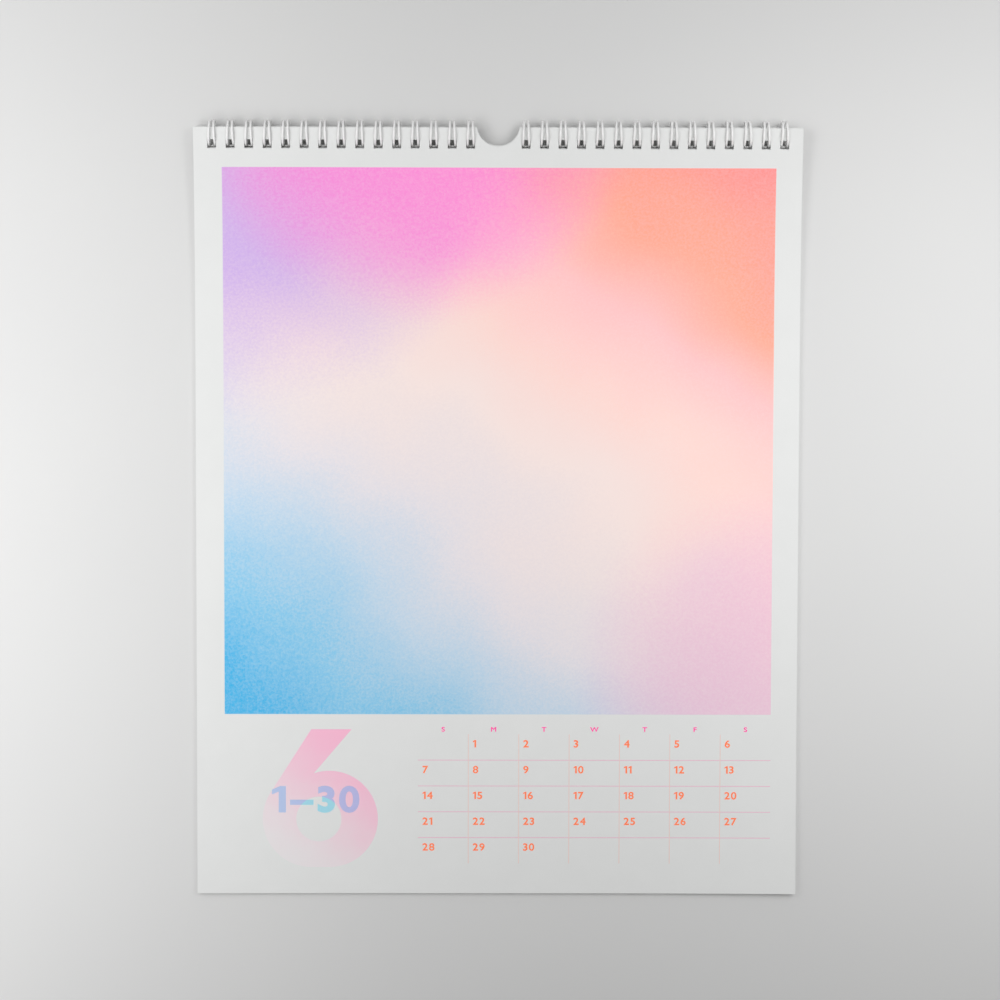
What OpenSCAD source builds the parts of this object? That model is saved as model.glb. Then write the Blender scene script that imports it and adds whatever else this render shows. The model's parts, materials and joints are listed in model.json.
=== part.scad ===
// Wire-bound wall calendar, opened at its sixth month and lying face up.
// The months before it are turned over the rings to the back of the stack.
//
// Millimetres. X runs across the sheets, +Y points to the binding and +Z out of the open page.
// The origin is in the middle of the whole calendar, on the surface that it lies on.
//
// The rings hold the sheets a little way up, so every sheet slopes down from the binding and
// eases out flat. Each face of a sheet is a "level": a height h above the ring axis where the
// rings hold it, and a height above the table where it lies flat.

/* [Sheets] */
// Width of every sheet
sheet_w = 279.4; // [276:0.1:320]
// Height of every sheet
sheet_h = 355.6; // [340:0.1:450]
// Thickness of one month's leaf
leaf_t = 0.16; // [0.1:0.01:0.18]
// Thickness of the front cover's card
cover_t = 0.25; // [0.15:0.01:0.35]
// Thickness of the backing board
board_t = 0.6; // [0.4:0.05:0.8]
// Leaves of the months to come, under the open leaf
later_count = 6; // [1:1:7]
// Leaves of the months gone by, turned to the back
turned_count = 5; // [1:1:6]
// Air between sheets that lie on each other
sheet_gap = 0.02; // [0.01:0.01:0.04]
// Air between the open leaf and the stack that it turns away from
leaf_gap = 0.03; // [0.02:0.01:0.1]

/* [Binding] */
// Outer diameter of the closed rings
ring_od = 12.2; // [12:0.1:14]
// Diameter of the coated wire
wire_d = 1; // [0.8:0.05:1.1]
// Distance from ring to ring
ring_pitch = 8.467; // [8:0.001:8.8]
// Rings in each of the two combs
rings_per_comb = 15; // [2:1:15]
// Distance from the calendar's middle to the first ring of each comb
first_ring_x = 12.7; // [12:0.1:14]
// Half the distance between a ring's two wires on the outer side of the binding
front_spread = 0.95; // [0.85:0.01:1.1]
// Half the distance between a ring's two wires where they go through the sheets
root_spread = 1.45; // [1.3:0.01:1.5]
// Radius of the bend from a ring's root into the wire that joins it to the next
root_bend_r = 0.8; // [0.6:0.05:1]
// Straight wire left past the last bend at both ends of a comb
end_stub = 1.2; // [0.5:0.1:2]
// How far the rings' tips stay below the wires along the seam
tip_drop = 0.3; // [0.25:0.01:0.5]
// How much thinner the wire's radius is in its tight bends
bend_neck = 0.02; // [0.01:0.01:0.04]
// How far a tight bend reaches into the wire on both sides of it
bend_lap = 0.1; // [0.05:0.01:0.15]

/* [Punching] */
// Side of the square holes
hole_size = 4.1; // [4:0.05:4.4]
// Room in a hole behind the ring
hole_play = 0.55; // [0.4:0.05:0.7]
// How far the sheets' top edges reach past the ring axis
edge_past_axis = 3; // [2.8:0.05:3.1]
// Radius of the half-moon cut between the combs
thumb_r = 10; // [8:0.1:11]
// Distance from the top edge up to the half-moon's centre
thumb_rise = 1.5; // [0:0.1:4]

/* [Lie of the sheets] */
// Slope of the sheets where the rings hold them
ring_slope = 8.5; // [6:0.1:10]
// Distance from the ring axis to the place where the sheets begin to ease out flat
straight_run = 12; // [10:0.5:20]
// Clearance round the sheets that stay when the open leaf turns past them
turn_gap = 0.12; // [0.08:0.01:0.14]
// Air on both sides of the joining wires, between the board and the turned sheets
seam_gap = 0.12; // [0.05:0.01:0.14]

/* [Print] */
// Thickness of the printed fields
ink_t = 0.04; // [0.02:0.01:0.1]
// Width of the picture
picture_size = 254.5; // [200:0.5:256]
// Distance from the leaf's top edge to the picture
picture_top = 18; // [15:0.5:30]
// Distance from the picture's right edge, and the date grid's, to the leaf's edge
print_margin = 12; // [8:0.1:15]
// Width of a weekday's column
column_w = 23.5; // [20:0.1:24]
// Height of a week's row
row_h = 12.15; // [10:0.05:12.5]
// Room for the weekdays' names, between the picture and the date grid
heading_h = 9.75; // [6:0.05:12]
// Width of the grid's lines
line_w = 0.35; // [0.2:0.05:0.6]
// Distance from the leaf's bottom edge to the date grid
grid_bottom = 14.1; // [8:0.1:16]
// Width of the big numeral
numeral_w = 53.7; // [40:0.1:56]
// Height of the big numeral
numeral_h = 64.8; // [50:0.1:68]
// Height of the numeral's bowl
bowl_h = 45.3; // [40:0.1:48]
// Diameter of the hole in the numeral's bowl
counter_d = 21.1; // [14:0.1:24]
// How far the hole lies left of the bowl's middle
counter_shift = 0.7; // [0:0.1:2]
// Width of the numeral's stem
stem_w = 18.8; // [12:0.1:20]
// Distance from the leaf's bottom edge to the numeral
numeral_bottom = 12.3; // [8:0.1:14]
// Least distance from the numeral up to the picture
numeral_gap = 6; // [4:0.1:10]
// Distance from the leaf's left edge to the numeral
numeral_left = 30.5; // [15:0.1:34]

/* [Hidden] */

weekdays = 7;
weeks = 5;
wire_r = wire_d / 2;
ring_r = ring_od / 2;         // outside of the rings
loop_r = ring_r - wire_r;     // middle of the wire
round_fn = 48;
sag_steps = 20;               // straight pieces in a sheet's eased part
sag_power = 4;                // how quickly a sheet eases out flat

// Thickness of each block of sheets, and of all that the rings hold still: the turned leaves,
// the cover, the wires that join the rings, the board and the leaves of the months to come
turned_t = turned_count * leaf_t;
later_t = later_count * leaf_t;
seam_room = wire_d + 2 * seam_gap;
held_t = turned_t + sheet_gap + cover_t + seam_room + board_t + sheet_gap + later_t;

// Heights above the ring axis, where the rings hold the sheets. The block that stays is centred.
turned_h = -held_t / 2;
cover_h = turned_h + turned_t + sheet_gap;
seam_h = cover_h + cover_t + seam_room / 2;
board_h = cover_h + cover_t + seam_room;
later_h = board_h + board_t + sheet_gap;
// The open leaf turns round the ring axis, so it clears the corners of the block that stays.
open_h = norm([edge_past_axis, held_t / 2]) + turn_gap;

// Heights above the table, where the sheets lie flat
turned_z = 0;
cover_z = turned_z + turned_t + sheet_gap;
board_z = cover_z + cover_t + sheet_gap;
later_z = board_z + board_t + sheet_gap;
open_z = later_z + later_t + leaf_gap;

hole_far = ring_r + hole_play;            // from the ring axis to a hole's far side
hole_mid = hole_far - hole_size / 2;
punch_h = 2 * ring_od;                    // taller than the whole stack

function sum_to(v, n) = n < 0 ? 0 : v[n] + sum_to(v, n - 1);
function path_length(p) = sum_to([for (i = [1 : len(p) - 1]) norm(p[i] - p[i - 1])], len(p) - 2);
function reversed(p) = [for (i = [len(p) - 1 : -1 : 0]) p[i]];

// A point at distance t above the ring axis along the sheets, and h above it across them
function held_point(t, h) = [t * cos(ring_slope) - h * sin(ring_slope),
                             t * sin(ring_slope) + h * cos(ring_slope)];
// Height of level h above the ring axis at the end of its straight run
function run_end_z(h) = h / cos(ring_slope) - straight_run * tan(ring_slope);

// One level of the stack from the top edge to where it lies flat, as points [y, z] from the ring axis
function sloped_part(h, z) =
    let (drop = run_end_z(h) + ring_r - z,
         ease = sag_power * drop / tan(ring_slope))
    concat([held_point(edge_past_axis, h)],
           [for (i = [0 : sag_steps])
               [-straight_run - ease * i / sag_steps,
                z - ring_r + drop * pow(1 - i / sag_steps, sag_power)]]);
// The whole level: what the sloped part leaves of the sheet's height lies flat
function level(h, z) =
    let (slope = sloped_part(h, z),
         last = slope[len(slope) - 1])
    concat(slope, [[last[0] - (sheet_h - path_length(slope)), last[1]]]);
function bottom_edge(h, z) = let (p = level(h, z)) p[len(p) - 1][0];

// The ring axis stands where the whole calendar is centred on the origin
ring_z = ring_r;
ring_y = -(ring_r + bottom_edge(open_h, open_z)) / 2;
leaf_top_y = ring_y + held_point(edge_past_axis, open_h + leaf_t)[0];
leaf_bottom_y = ring_y + bottom_edge(open_h + leaf_t, open_z + leaf_t);
leaf_top = open_z + leaf_t;

// Everything that the rings hold is set out from the ring axis, square to the sheets
module at_rings() translate([0, ring_y, ring_z]) rotate([ring_slope, 0, 0]) children();

// A block between two levels, as wide as the sheets
module block(h, z, thickness, width = sheet_w) {
    translate([0, ring_y, ring_z]) rotate([90, 0, 90])
        linear_extrude(height = width, center = true)
            polygon(concat(level(h, z), reversed(level(h + thickness, z + thickness))));
}

// Ring positions along the top edge, for both combs
function ring_x(i) = first_ring_x + i * ring_pitch;

module punching() {
    at_rings() {
        for (side = [-1, 1], i = [0 : rings_per_comb - 1])
            translate([side * ring_x(i), -hole_mid, 0])
                cube([hole_size, hole_size, punch_h], center = true);
        translate([0, edge_past_axis + thumb_rise, 0])
            cylinder(h = punch_h, r = thumb_r, center = true, $fn = round_fn);
    }
}

module sheets(h, z, thickness) {
    difference() {
        block(h, z, thickness);
        punching();
    }
}

// ---- Binding -------------------------------------------------------------------------------

// A bend in the wire: its centre, the unit direction from there to its start, the unit direction
// in which the wire sets off, its radius and the angle that it turns through. A tight bend is a
// touch thinner than the runs it joins, as drawn wire is, and reaches a little way into them.
module bend(centre, out, along, radius, turn, neck = 0) {
    lap = neck > 0 ? bend_lap / radius * 180 / PI : 0;
    up = cross(out, along);
    multmatrix([[out[0], along[0], up[0], centre[0]],
                [out[1], along[1], up[1], centre[1]],
                [out[2], along[2], up[2], centre[2]],
                [0, 0, 0, 1]])
        rotate([0, 0, -lap]) rotate_extrude(angle = turn + 2 * lap, $fn = round_fn)
            translate([radius, 0]) circle(r = wire_r - neck, $fn = round_fn / 2);
}

// Each leg of a ring is one leaning circle, open at the seam: its two wires are front_spread
// from the ring's middle on the binding's outer side and root_spread where they meet the sheets
lean = (root_spread - front_spread) / 2;
leg_mid = [front_spread + lean, 0, 0];
leg_r = norm([lean, loop_r]);
leg_front = [-lean, loop_r, 0] / leg_r;
up = [0, 0, 1];

// Above, the leg ends where its bend outwards brings the wire down to the height of the seam
root_angle = 180 - asin((seam_h + root_bend_r) / leg_r);
root_along = -sin(root_angle) * leg_front + cos(root_angle) * up;
root_turn = acos(root_along[0]);
root_out = (root_along[0] * root_along - [1, 0, 0]) / sin(root_turn);
root_centre = leg_mid + leg_r * (cos(root_angle) * leg_front + sin(root_angle) * up)
    - root_bend_r * root_out;
// The bend hands the wire on sideways from here
root_end = root_centre + root_bend_r * (cos(root_turn) * root_out + sin(root_turn) * root_along);

// Below, the leg ends where the round tip that joins both legs reaches up to just under the seam
tip_lift = atan(root_spread / leg_r) - asin((seam_h - tip_drop) / norm([root_spread, leg_r]));
tip_angle = 180 - tip_lift;
tip_start = leg_mid + leg_r * (cos(tip_angle) * leg_front - sin(tip_angle) * up);
tip_along = [0, -sin(tip_lift), cos(tip_lift)];

// From the tip round below and over the top to the root
module ring_leg() {
    at_tip = leg_front * cos(tip_angle) - up * sin(tip_angle);
    setting_off = leg_front * sin(tip_angle) + up * cos(tip_angle);
    bend(leg_mid, at_tip, setting_off, leg_r, tip_angle + root_angle);
    bend(root_centre, root_out, root_along, root_bend_r, root_turn, bend_neck);
}

module ring() {
    ring_leg();
    mirror([1, 0, 0]) ring_leg();
    bend([0, tip_start[1], tip_start[2]], [1, 0, 0], tip_along, tip_start[0], 180, bend_neck);
}

// Straight wire along the seam, from x to x + run
module seam_wire(x, run) {
    translate([x, root_end[1], root_end[2]]) rotate([0, 90, 0])
        cylinder(h = run, d = wire_d, $fn = round_fn / 2);
}

module comb() {
    at_rings() {
        for (i = [0 : rings_per_comb - 1]) translate([ring_x(i), 0, 0]) ring();
        for (i = [0 : rings_per_comb - 2]) seam_wire(ring_x(i) + root_end[0], ring_pitch - 2 * root_end[0]);
        seam_wire(ring_x(0) - root_end[0] - end_stub, end_stub);
        seam_wire(ring_x(rings_per_comb - 1) + root_end[0], end_stub);
    }
}

module binding_right() color("white") comb();
module binding_left() color("white") mirror([1, 0, 0]) comb();

// ---- Sheets --------------------------------------------------------------------------------

module june_page() color("whitesmoke") sheets(open_h, open_z, leaf_t);
module later_pages() color("whitesmoke") sheets(later_h, later_z, later_t);
module backing_board() color("gainsboro") sheets(board_h, board_z, board_t);
module front_cover() color("lavender") sheets(cover_h, cover_z, cover_t);
module earlier_pages() color("whitesmoke") sheets(turned_h, turned_z, turned_t);

// ---- Print on the open leaf ----------------------------------------------------------------

print_right = sheet_w / 2 - print_margin;

// The picture reaches down to the taller of the date grid with its heading and the numeral
below_picture = max(grid_bottom + weeks * row_h + heading_h, numeral_bottom + numeral_h + numeral_gap);
picture_h = sheet_h - picture_top - below_picture;

// It follows the leaf's slope: a slice of the level just above the leaf
module picture_print() {
    color("lightpink") intersection() {
        block(open_h + leaf_t, open_z + leaf_t, ink_t);
        translate([print_right - picture_size, leaf_top_y - picture_top - picture_h, 0])
            cube([picture_size, picture_h, punch_h]);
    }
}

// The date grid: a line between neighbouring columns and between neighbouring rows
module grid_print() {
    color("lightsalmon") translate([print_right - weekdays * column_w, leaf_bottom_y + grid_bottom, leaf_top]) {
        for (i = [1 : weekdays - 1])
            translate([i * column_w - line_w / 2, 0, 0]) cube([line_w, weeks * row_h, ink_t]);
        for (i = [1 : weeks - 1])
            translate([0, i * row_h - line_w / 2, 0]) cube([weekdays * column_w, line_w, ink_t]);
    }
}

// The big six: a wide round bowl, and a slanted stem whose left edge touches the bowl
module numeral_outline() {
    bowl_r = bowl_h / 2;
    slant = asin(bowl_r / (numeral_h - bowl_r));
    touch = bowl_r * [1 - cos(slant), 1 + sin(slant)];
    difference() {
        union() {
            hull() for (x = [bowl_r, numeral_w - bowl_r]) translate([x, bowl_r]) circle(r = bowl_r, $fn = round_fn);
            polygon([touch, touch + [stem_w, 0], [bowl_r + stem_w, numeral_h], [bowl_r, numeral_h]]);
        }
        translate([numeral_w / 2 - counter_shift, bowl_r]) circle(d = counter_d, $fn = round_fn);
    }
}

module numeral_print() {
    color("pink")
        translate([numeral_left - sheet_w / 2, leaf_bottom_y + numeral_bottom, leaf_top])
            linear_extrude(height = ink_t) numeral_outline();
}

binding_left();
binding_right();
june_page();
picture_print();
grid_print();
numeral_print();
later_pages();
backing_board();
front_cover();
earlier_pages();
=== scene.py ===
# %% [markdown]
# # Dressing a wire-bound wall calendar
# The calendar lies face up, open at its sixth month. The months before it are turned over the
# rings to the back. Its solids come ready made from a CAD model, and this script gives them the
# shapes and finishes that solids can't show: thin sheets that slope and curl, printed ink, and
# one long wire bent into loops. The CAD frame is loaded first, because every piece is placed by it.

# %% Load the frame
import bisect
import json
import math

import bpy
from mathutils import Euler, Matrix, Vector, geometry


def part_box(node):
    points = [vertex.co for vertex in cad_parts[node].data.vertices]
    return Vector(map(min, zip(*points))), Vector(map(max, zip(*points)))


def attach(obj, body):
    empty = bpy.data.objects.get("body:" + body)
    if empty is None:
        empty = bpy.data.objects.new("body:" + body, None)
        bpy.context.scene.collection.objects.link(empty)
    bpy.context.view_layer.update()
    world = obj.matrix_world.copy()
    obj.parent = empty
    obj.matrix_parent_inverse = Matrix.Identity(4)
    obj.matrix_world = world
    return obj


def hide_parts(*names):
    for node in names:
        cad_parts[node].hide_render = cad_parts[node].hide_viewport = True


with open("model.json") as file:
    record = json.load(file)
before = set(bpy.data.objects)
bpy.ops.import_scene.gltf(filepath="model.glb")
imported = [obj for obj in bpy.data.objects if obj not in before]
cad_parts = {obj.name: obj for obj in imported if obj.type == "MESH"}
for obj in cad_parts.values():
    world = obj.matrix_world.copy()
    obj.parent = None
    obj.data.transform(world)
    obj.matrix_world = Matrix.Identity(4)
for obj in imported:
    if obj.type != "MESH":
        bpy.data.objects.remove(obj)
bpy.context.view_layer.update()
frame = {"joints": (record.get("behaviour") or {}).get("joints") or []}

MM = 0.001
hinge = frame["joints"][0]
axis_y, axis_z = hinge["pos_m"][1], hinge["pos_m"][2]
print("ring axis at y", axis_y, "z", axis_z)

# %% [markdown]
# ## Camera
# A camera that looks straight down on paper shows every small lean as a trapezoid, so the angles
# matter to a tenth of a degree. They could be set by eye, but four corners of a sheet of known
# size fix them: this is the place and lens at which the corners fall where they should.

# %% Camera
camera_data = bpy.data.cameras.new("camera")
camera_data.sensor_width = 36
camera_data.lens = 93.05
camera = bpy.data.objects.new("camera", camera_data)
camera.location = (-6.7 * MM, 72.6 * MM, 1200 * MM)
camera.rotation_euler = Euler([math.radians(a) for a in (-3.242, -0.369, 0.139)])
bpy.context.scene.collection.objects.link(camera)
bpy.context.scene.camera = camera

# %% [markdown]
# ## A short way to write nodes
# Materials and Geometry Nodes are both trees of nodes. One function adds a node: it gets its
# type, its settings and what goes into its sockets. On top of it a small class wraps a socket,
# so that shader maths can be written as plain Python: `1 - mask * 0.5` adds its Math nodes.

# %% Nodes from plain Python
def add_node(tree, kind, settings=None, inputs=None):
    """Adds a node, sets it up, and fills or links its sockets."""
    node = tree.nodes.new(kind)
    for name, value in (settings or {}).items():
        if name == "stops":
            ramp = node.color_ramp
            while len(ramp.elements) < len(value):
                ramp.elements.new(0.5)
            for element, (position, tint) in zip(ramp.elements, value):
                element.position = position
                element.color = (*tint, 1)
        else:
            setattr(node, name, value)
    for name, value in (inputs or {}).items():
        plug(tree, node.inputs[name], value)
    return node


def plug(tree, socket, value):
    """Links a signal or a socket to a node's socket, or sets the socket's own value."""
    if isinstance(value, Signal):
        value = value.socket
    if isinstance(value, bpy.types.NodeSocket):
        tree.links.new(value, socket)
    else:
        socket.default_value = value


class Signal:
    """A socket in a material. Python's operators on it add the Math nodes."""

    def __init__(self, tree, socket):
        self.tree, self.socket = tree, socket

    def _math(self, operation, first, second):
        node = add_node(self.tree, "ShaderNodeMath", {"operation": operation}, {0: first, 1: second})
        return Signal(self.tree, node.outputs[0])

    def __add__(self, other):
        return self._math("ADD", self, other)

    def __sub__(self, other):
        return self._math("SUBTRACT", self, other)

    def __rsub__(self, other):
        return self._math("SUBTRACT", other, self)

    def __mul__(self, other):
        return self._math("MULTIPLY", self, other)

    __radd__ = __add__
    __rmul__ = __mul__


print("a Signal knows + - and *, with a number on either side")

# %% [markdown]
# ## A material in the making
# Every finish here starts from the Principled shader, and noise breaks up its colour, its gloss and
# its surface. The noise could follow an unwrapped map, but Object coordinates are in metres, so a
# grain of a tenth of a millimetre is written as just that, and it has no seams. Colours are
# written as in a paint program and turned into linear light, which is what shaders reckon in.

# %% Colours, and a class for finishes
def srgb(text):
    """A colour written as in a paint program, such as "f4b0c8", as linear light."""
    parts = [int(text[i:i + 2], 16) / 255 for i in (0, 2, 4)]
    return tuple(c / 12.92 if c <= 0.04045 else ((c + 0.055) / 1.055) ** 2.4 for c in parts)


def colour(value):
    """A written colour as a socket's value. A signal, or a value, stays as it is."""
    return (*srgb(value), 1) if isinstance(value, str) else value


class Finish:
    """A material while it is put together. Patterns read the piece's own Object coordinates."""

    def __init__(self, name):
        self.material = bpy.data.materials.new(name)
        self.material.use_nodes = True
        self.tree = self.material.node_tree
        self.shader = self.tree.nodes["Principled BSDF"]
        self.place = add_node(self.tree, "ShaderNodeTexCoord").outputs["Object"]

    def node(self, kind, settings=None, inputs=None, output=0):
        """Adds a node and gives one of its outputs as a Signal."""
        return Signal(self.tree, add_node(self.tree, kind, settings, inputs).outputs[output])

    def noise(self, size, detail=2.0, roughness=0.5, stretch=(1, 1, 1), offset=(0, 0, 0)):
        """Soft noise from 0 to 1 whose blobs are about this many metres across."""
        spot = self.node("ShaderNodeMapping", None,
                         {"Vector": self.place, "Location": offset, "Scale": stretch})
        return self.node("ShaderNodeTexNoise", None,
                         {"Vector": spot, "Scale": 1 / size, "Detail": detail, "Roughness": roughness})

    def step(self, value, start, end):
        """0 below start, 1 above end, and a smooth rise between them."""
        return self.node("ShaderNodeMapRange", {"interpolation_type": "SMOOTHSTEP"},
                         {"Value": value, "From Min": start, "From Max": end})

    def parts(self):
        """The x and the y of the place on the piece."""
        split = add_node(self.tree, "ShaderNodeSeparateXYZ", None, {0: self.place})
        return Signal(self.tree, split.outputs[0]), Signal(self.tree, split.outputs[1])

    def blend(self, factor, first, second):
        """A mix of two colours."""
        return self.node("ShaderNodeMix", {"data_type": "RGBA"},
                         {"Factor": factor, 6: colour(first), 7: colour(second)}, 2)

    def bump(self, height, distance):
        """Raises the surface by this many metres where the height is 1."""
        plug(self.tree, self.shader.inputs["Normal"],
             self.node("ShaderNodeBump", None, {"Height": height, "Distance": distance, "Strength": 1.0}))

    def set(self, **inputs):
        """Fills the shader's sockets and gives the finished material."""
        for name, value in inputs.items():
            plug(self.tree, self.shader.inputs[name.replace("_", " ")], value)
        return self.material


print("middle grey in linear light:", [round(part, 3) for part in srgb("808080")])

# %% [markdown]
# ## Paper and card
# Uncoated paper is matt, and white only from far away: up close it has a felt of fibres a tenth of
# a millimetre wide, and cloudy places where they lie thicker. An image of paper could be wrapped
# round the sheets, but noise at the fibres' true size works at any distance and needs no image.
# A long thin noise gives the fibres, a wide one the clouds, and the same fibres raise the surface.

# %% Paper and card finishes
def paper(name, light, shade, fibre=0.12 * MM, relief=0.01 * MM, fleck=None):
    """Uncoated stock: fibres both ways and clouds, with flecks of another colour in grey board."""
    cloud_size, fleck_size = 14 * MM, 0.35 * MM
    made = Finish(name)
    along = made.noise(fibre, 3, 0.6, (0.25, 1, 1))
    across = made.noise(fibre, 3, 0.6, (1, 0.25, 1), (7, 3, 0))
    fibres = (along + across) * 0.5
    clouds = made.noise(cloud_size, 3, 0.55)
    tone = made.step(fibres * 0.7 + clouds * 0.3, 0.3, 0.7)
    base = made.blend(tone, shade, light)
    if fleck:
        specks = made.step(made.noise(fleck_size, 2, 0.7, (1, 0.6, 1), (1, 9, 0)), 0.66, 0.72)
        base = made.blend(specks * 0.5, base, fleck)
    made.bump(fibres, relief)
    return made.set(Base_Color=base, Roughness=0.82 + 0.12 * fibres, Specular_IOR_Level=0.3)


leaf_paper = paper("uncoated_paper", "ebeceb", "e7e8e7")
cover_paper = paper("cover_card", "eceaf0", "e2dfe9", relief=0.006 * MM)
board_paper = paper("grey_board", "c9c7c2", "b3b0aa", fibre=0.2 * MM, relief=0.03 * MM, fleck="8d8982")
print("paper and card:", leaf_paper.name, cover_paper.name, board_paper.name)

# %% [markdown]
# ## How the sheets lie
# The rings hold the sheets a few millimetres off the table, so each sheet slopes down from the
# binding and eases out flat, as a springy strip does that is held at one end. Cloth simulation
# could find that shape, but every sheet must keep its place above the next to a few hundredths
# of a millimetre. So the shape is a rule. A Level is one face of a sheet: give it the distance
# down from the top edge, measured along the paper, and it answers with the place in space.

# %% The level of a sheet
sheet_w, sheet_h = 279.4 * MM, 355.6 * MM
ring_slope = math.radians(8.5)
edge_past_axis, straight_run = 3 * MM, 12 * MM
ease_power, ease_steps = 4, 80


class Level:
    """One face of a sheet: `held` above the ring axis at the rings, `flat` above the table."""

    def __init__(self, held, flat):
        sine, cosine = math.sin(ring_slope), math.cos(ring_slope)
        tangent = sine / cosine
        drop = held / cosine - straight_run * tangent + axis_z - flat
        reach = ease_power * drop / tangent
        self.points = [Vector((edge_past_axis * cosine - held * sine,
                               axis_z + edge_past_axis * sine + held * cosine))]
        for i in range(ease_steps + 1):
            part = i / ease_steps
            self.points.append(Vector((-straight_run - reach * part,
                                       flat + drop * (1 - part) ** ease_power)))
        self.points.append(self.points[-1] - Vector((sheet_h, 0)))
        self.along = [0.0]
        for a, b in zip(self.points, self.points[1:]):
            self.along.append(self.along[-1] + (b - a).length)

    def at(self, down):
        """Place (y, z) at this distance down from the top edge."""
        i = max(1, min(bisect.bisect_right(self.along, down), len(self.along) - 1))
        part = (down - self.along[i - 1]) / (self.along[i] - self.along[i - 1])
        y, z = self.points[i - 1].lerp(self.points[i], part)
        return axis_y + y, z

    def down_at(self, y):
        """Distance down from the top edge of the place with this y."""
        heights = [-p.x for p in self.points]
        i = max(1, min(bisect.bisect_right(heights, axis_y - y), len(heights) - 1))
        part = (axis_y - y - heights[i - 1]) / (heights[i] - heights[i - 1])
        return self.along[i - 1] + part * (self.along[i] - self.along[i - 1])


on_axis = Level(0, 0)
print("a face through the ring axis drops", round((on_axis.at(0)[1] - on_axis.at(sheet_h)[1]) / MM, 2),
      "mm from its top edge to its foot")

# %% [markdown]
# ## Heights in the stack
# From the table up lie five leaves gone by, the cover, the board, six leaves to come and the open
# one. The wire's seam runs between cover and board, so the stack gapes there at the rings and is
# closed at the foot. Each height could be read off the CAD solids, but a sum from the rings
# outwards shows where every part of a millimetre goes.

# %% Stack heights
leaf_t, cover_t, board_t = 0.16 * MM, 0.25 * MM, 0.6 * MM
sheet_gap, leaf_gap = 0.02 * MM, 0.03 * MM
later_months = ("july", "august", "september", "october", "november", "december")
earlier_months = ("may", "april", "march", "february", "january")
wire_d, seam_clearance, turn_gap = 1 * MM, 0.12 * MM, 0.12 * MM
turned_t, later_t = len(earlier_months) * leaf_t, len(later_months) * leaf_t
seam_room = wire_d + 2 * seam_clearance
held_t = turned_t + sheet_gap + cover_t + seam_room + board_t + sheet_gap + later_t
turned_held = -held_t / 2
cover_held = turned_held + turned_t + sheet_gap
seam_held = cover_held + cover_t + seam_room / 2
board_held = cover_held + cover_t + seam_room
later_held = board_held + board_t + sheet_gap
open_held = math.hypot(edge_past_axis, held_t / 2) + turn_gap
cover_flat = turned_t + sheet_gap
board_flat = cover_flat + cover_t + sheet_gap
later_flat = board_flat + board_t + sheet_gap
open_flat = later_flat + later_t + leaf_gap
june_face = Level(open_held + leaf_t, open_flat + leaf_t)
print("open leaf's top edge", [round(v, 5) for v in june_face.at(0)],
      "bottom edge", [round(v, 5) for v in june_face.at(sheet_h)])

# %% [markdown]
# ## Cutting a shape
# Paper is cut to an outline with holes in it. That could be done with one boolean for each hole,
# but a triangulation that is told the outline and the holes gives clean thin paper at once, and
# loose points inside let it bend. Outlines run counterclockwise here and holes clockwise, and a
# point is paper where more of the first than of the second run round it.

# %% A flat shape as triangles
def spacing(start, end, step):
    """Evenly spaced numbers from start to end, about a step apart."""
    count = max(1, round(abs(end - start) / step))
    return [start + (end - start) * i / count for i in range(count + 1)]


def arc(centre, radius, start, end, steps):
    """Points on an arc between two angles in degrees, both ends with it."""
    angles = [math.radians(start + (end - start) * i / steps) for i in range(steps + 1)]
    return [Vector((centre[0] + radius * math.cos(a), centre[1] + radius * math.sin(a))) for a in angles]


def inside(point, loops):
    """True if more loops run counterclockwise round a point, as outlines do, than clockwise, as
    holes do. It holds for outlines that cross themselves as well."""
    turns = 0
    for loop in loops:
        for a, b in zip(loop, loop[1:] + loop[:1]):
            if (a.y > point.y) != (b.y > point.y):
                if point.x < a.x + (point.y - a.y) / (b.y - a.y) * (b.x - a.x):
                    turns += 1 if b.y > a.y else -1
    return turns > 0


def room_round(point, loops):
    """Distance from a point to the nearest edge."""
    nearest = 1.0
    for loop in loops:
        for a, b in zip(loop, loop[1:] + loop[:1]):
            side = b - a
            part = max(0.0, min(1.0, (point - a).dot(side) / side.length_squared))
            nearest = min(nearest, (point - a - side * part).length)
    return nearest


def cut(loops, columns, rows, margin):
    """Triangulates the area inside outlines and outside holes, with a net of points in it that
    keeps this margin from the edges."""
    points, edges = [], []
    for loop in loops:
        first = len(points)
        points += loop
        edges += [(first + i, first + (i + 1) % len(loop)) for i in range(len(loop))]
    for x in columns:
        for y in rows:
            point = Vector((x, y))
            if inside(point, loops) and room_round(point, loops) > margin:
                points.append(point)
    whole_hull = 0
    corners, _, faces, *_ = geometry.delaunay_2d_cdt(points, edges, [], whole_hull, 1e-7)
    return corners, [tuple(face) for face in faces
                     if inside((corners[face[0]] + corners[face[1]] + corners[face[2]]) / 3, loops)]


def divided(loop, step):
    """A closed outline with extra points on its long sides."""
    result = []
    for a, b in zip(loop, loop[1:] + loop[:1]):
        count = max(1, round((b - a).length / step))
        result += [a.lerp(b, i / count) for i in range(count)]
    return result


plain_square = [Vector((0, 0)), Vector((1, 0)), Vector((1, 1)), Vector((0, 1))]
print("a plain square is cut into", len(cut([plain_square], [], [], 0)[1]), "triangles")

# %% [markdown]
# ## The outline of a sheet
# Every sheet has one outline: a rectangle with a half-moon for the thumb and thirty square holes
# for the rings, whose corners the punch leaves slightly round. It is drawn flat, with y at 0 on
# its top edge and below 0 further down. Its net of points is finer near the rings, where it bends.

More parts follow.
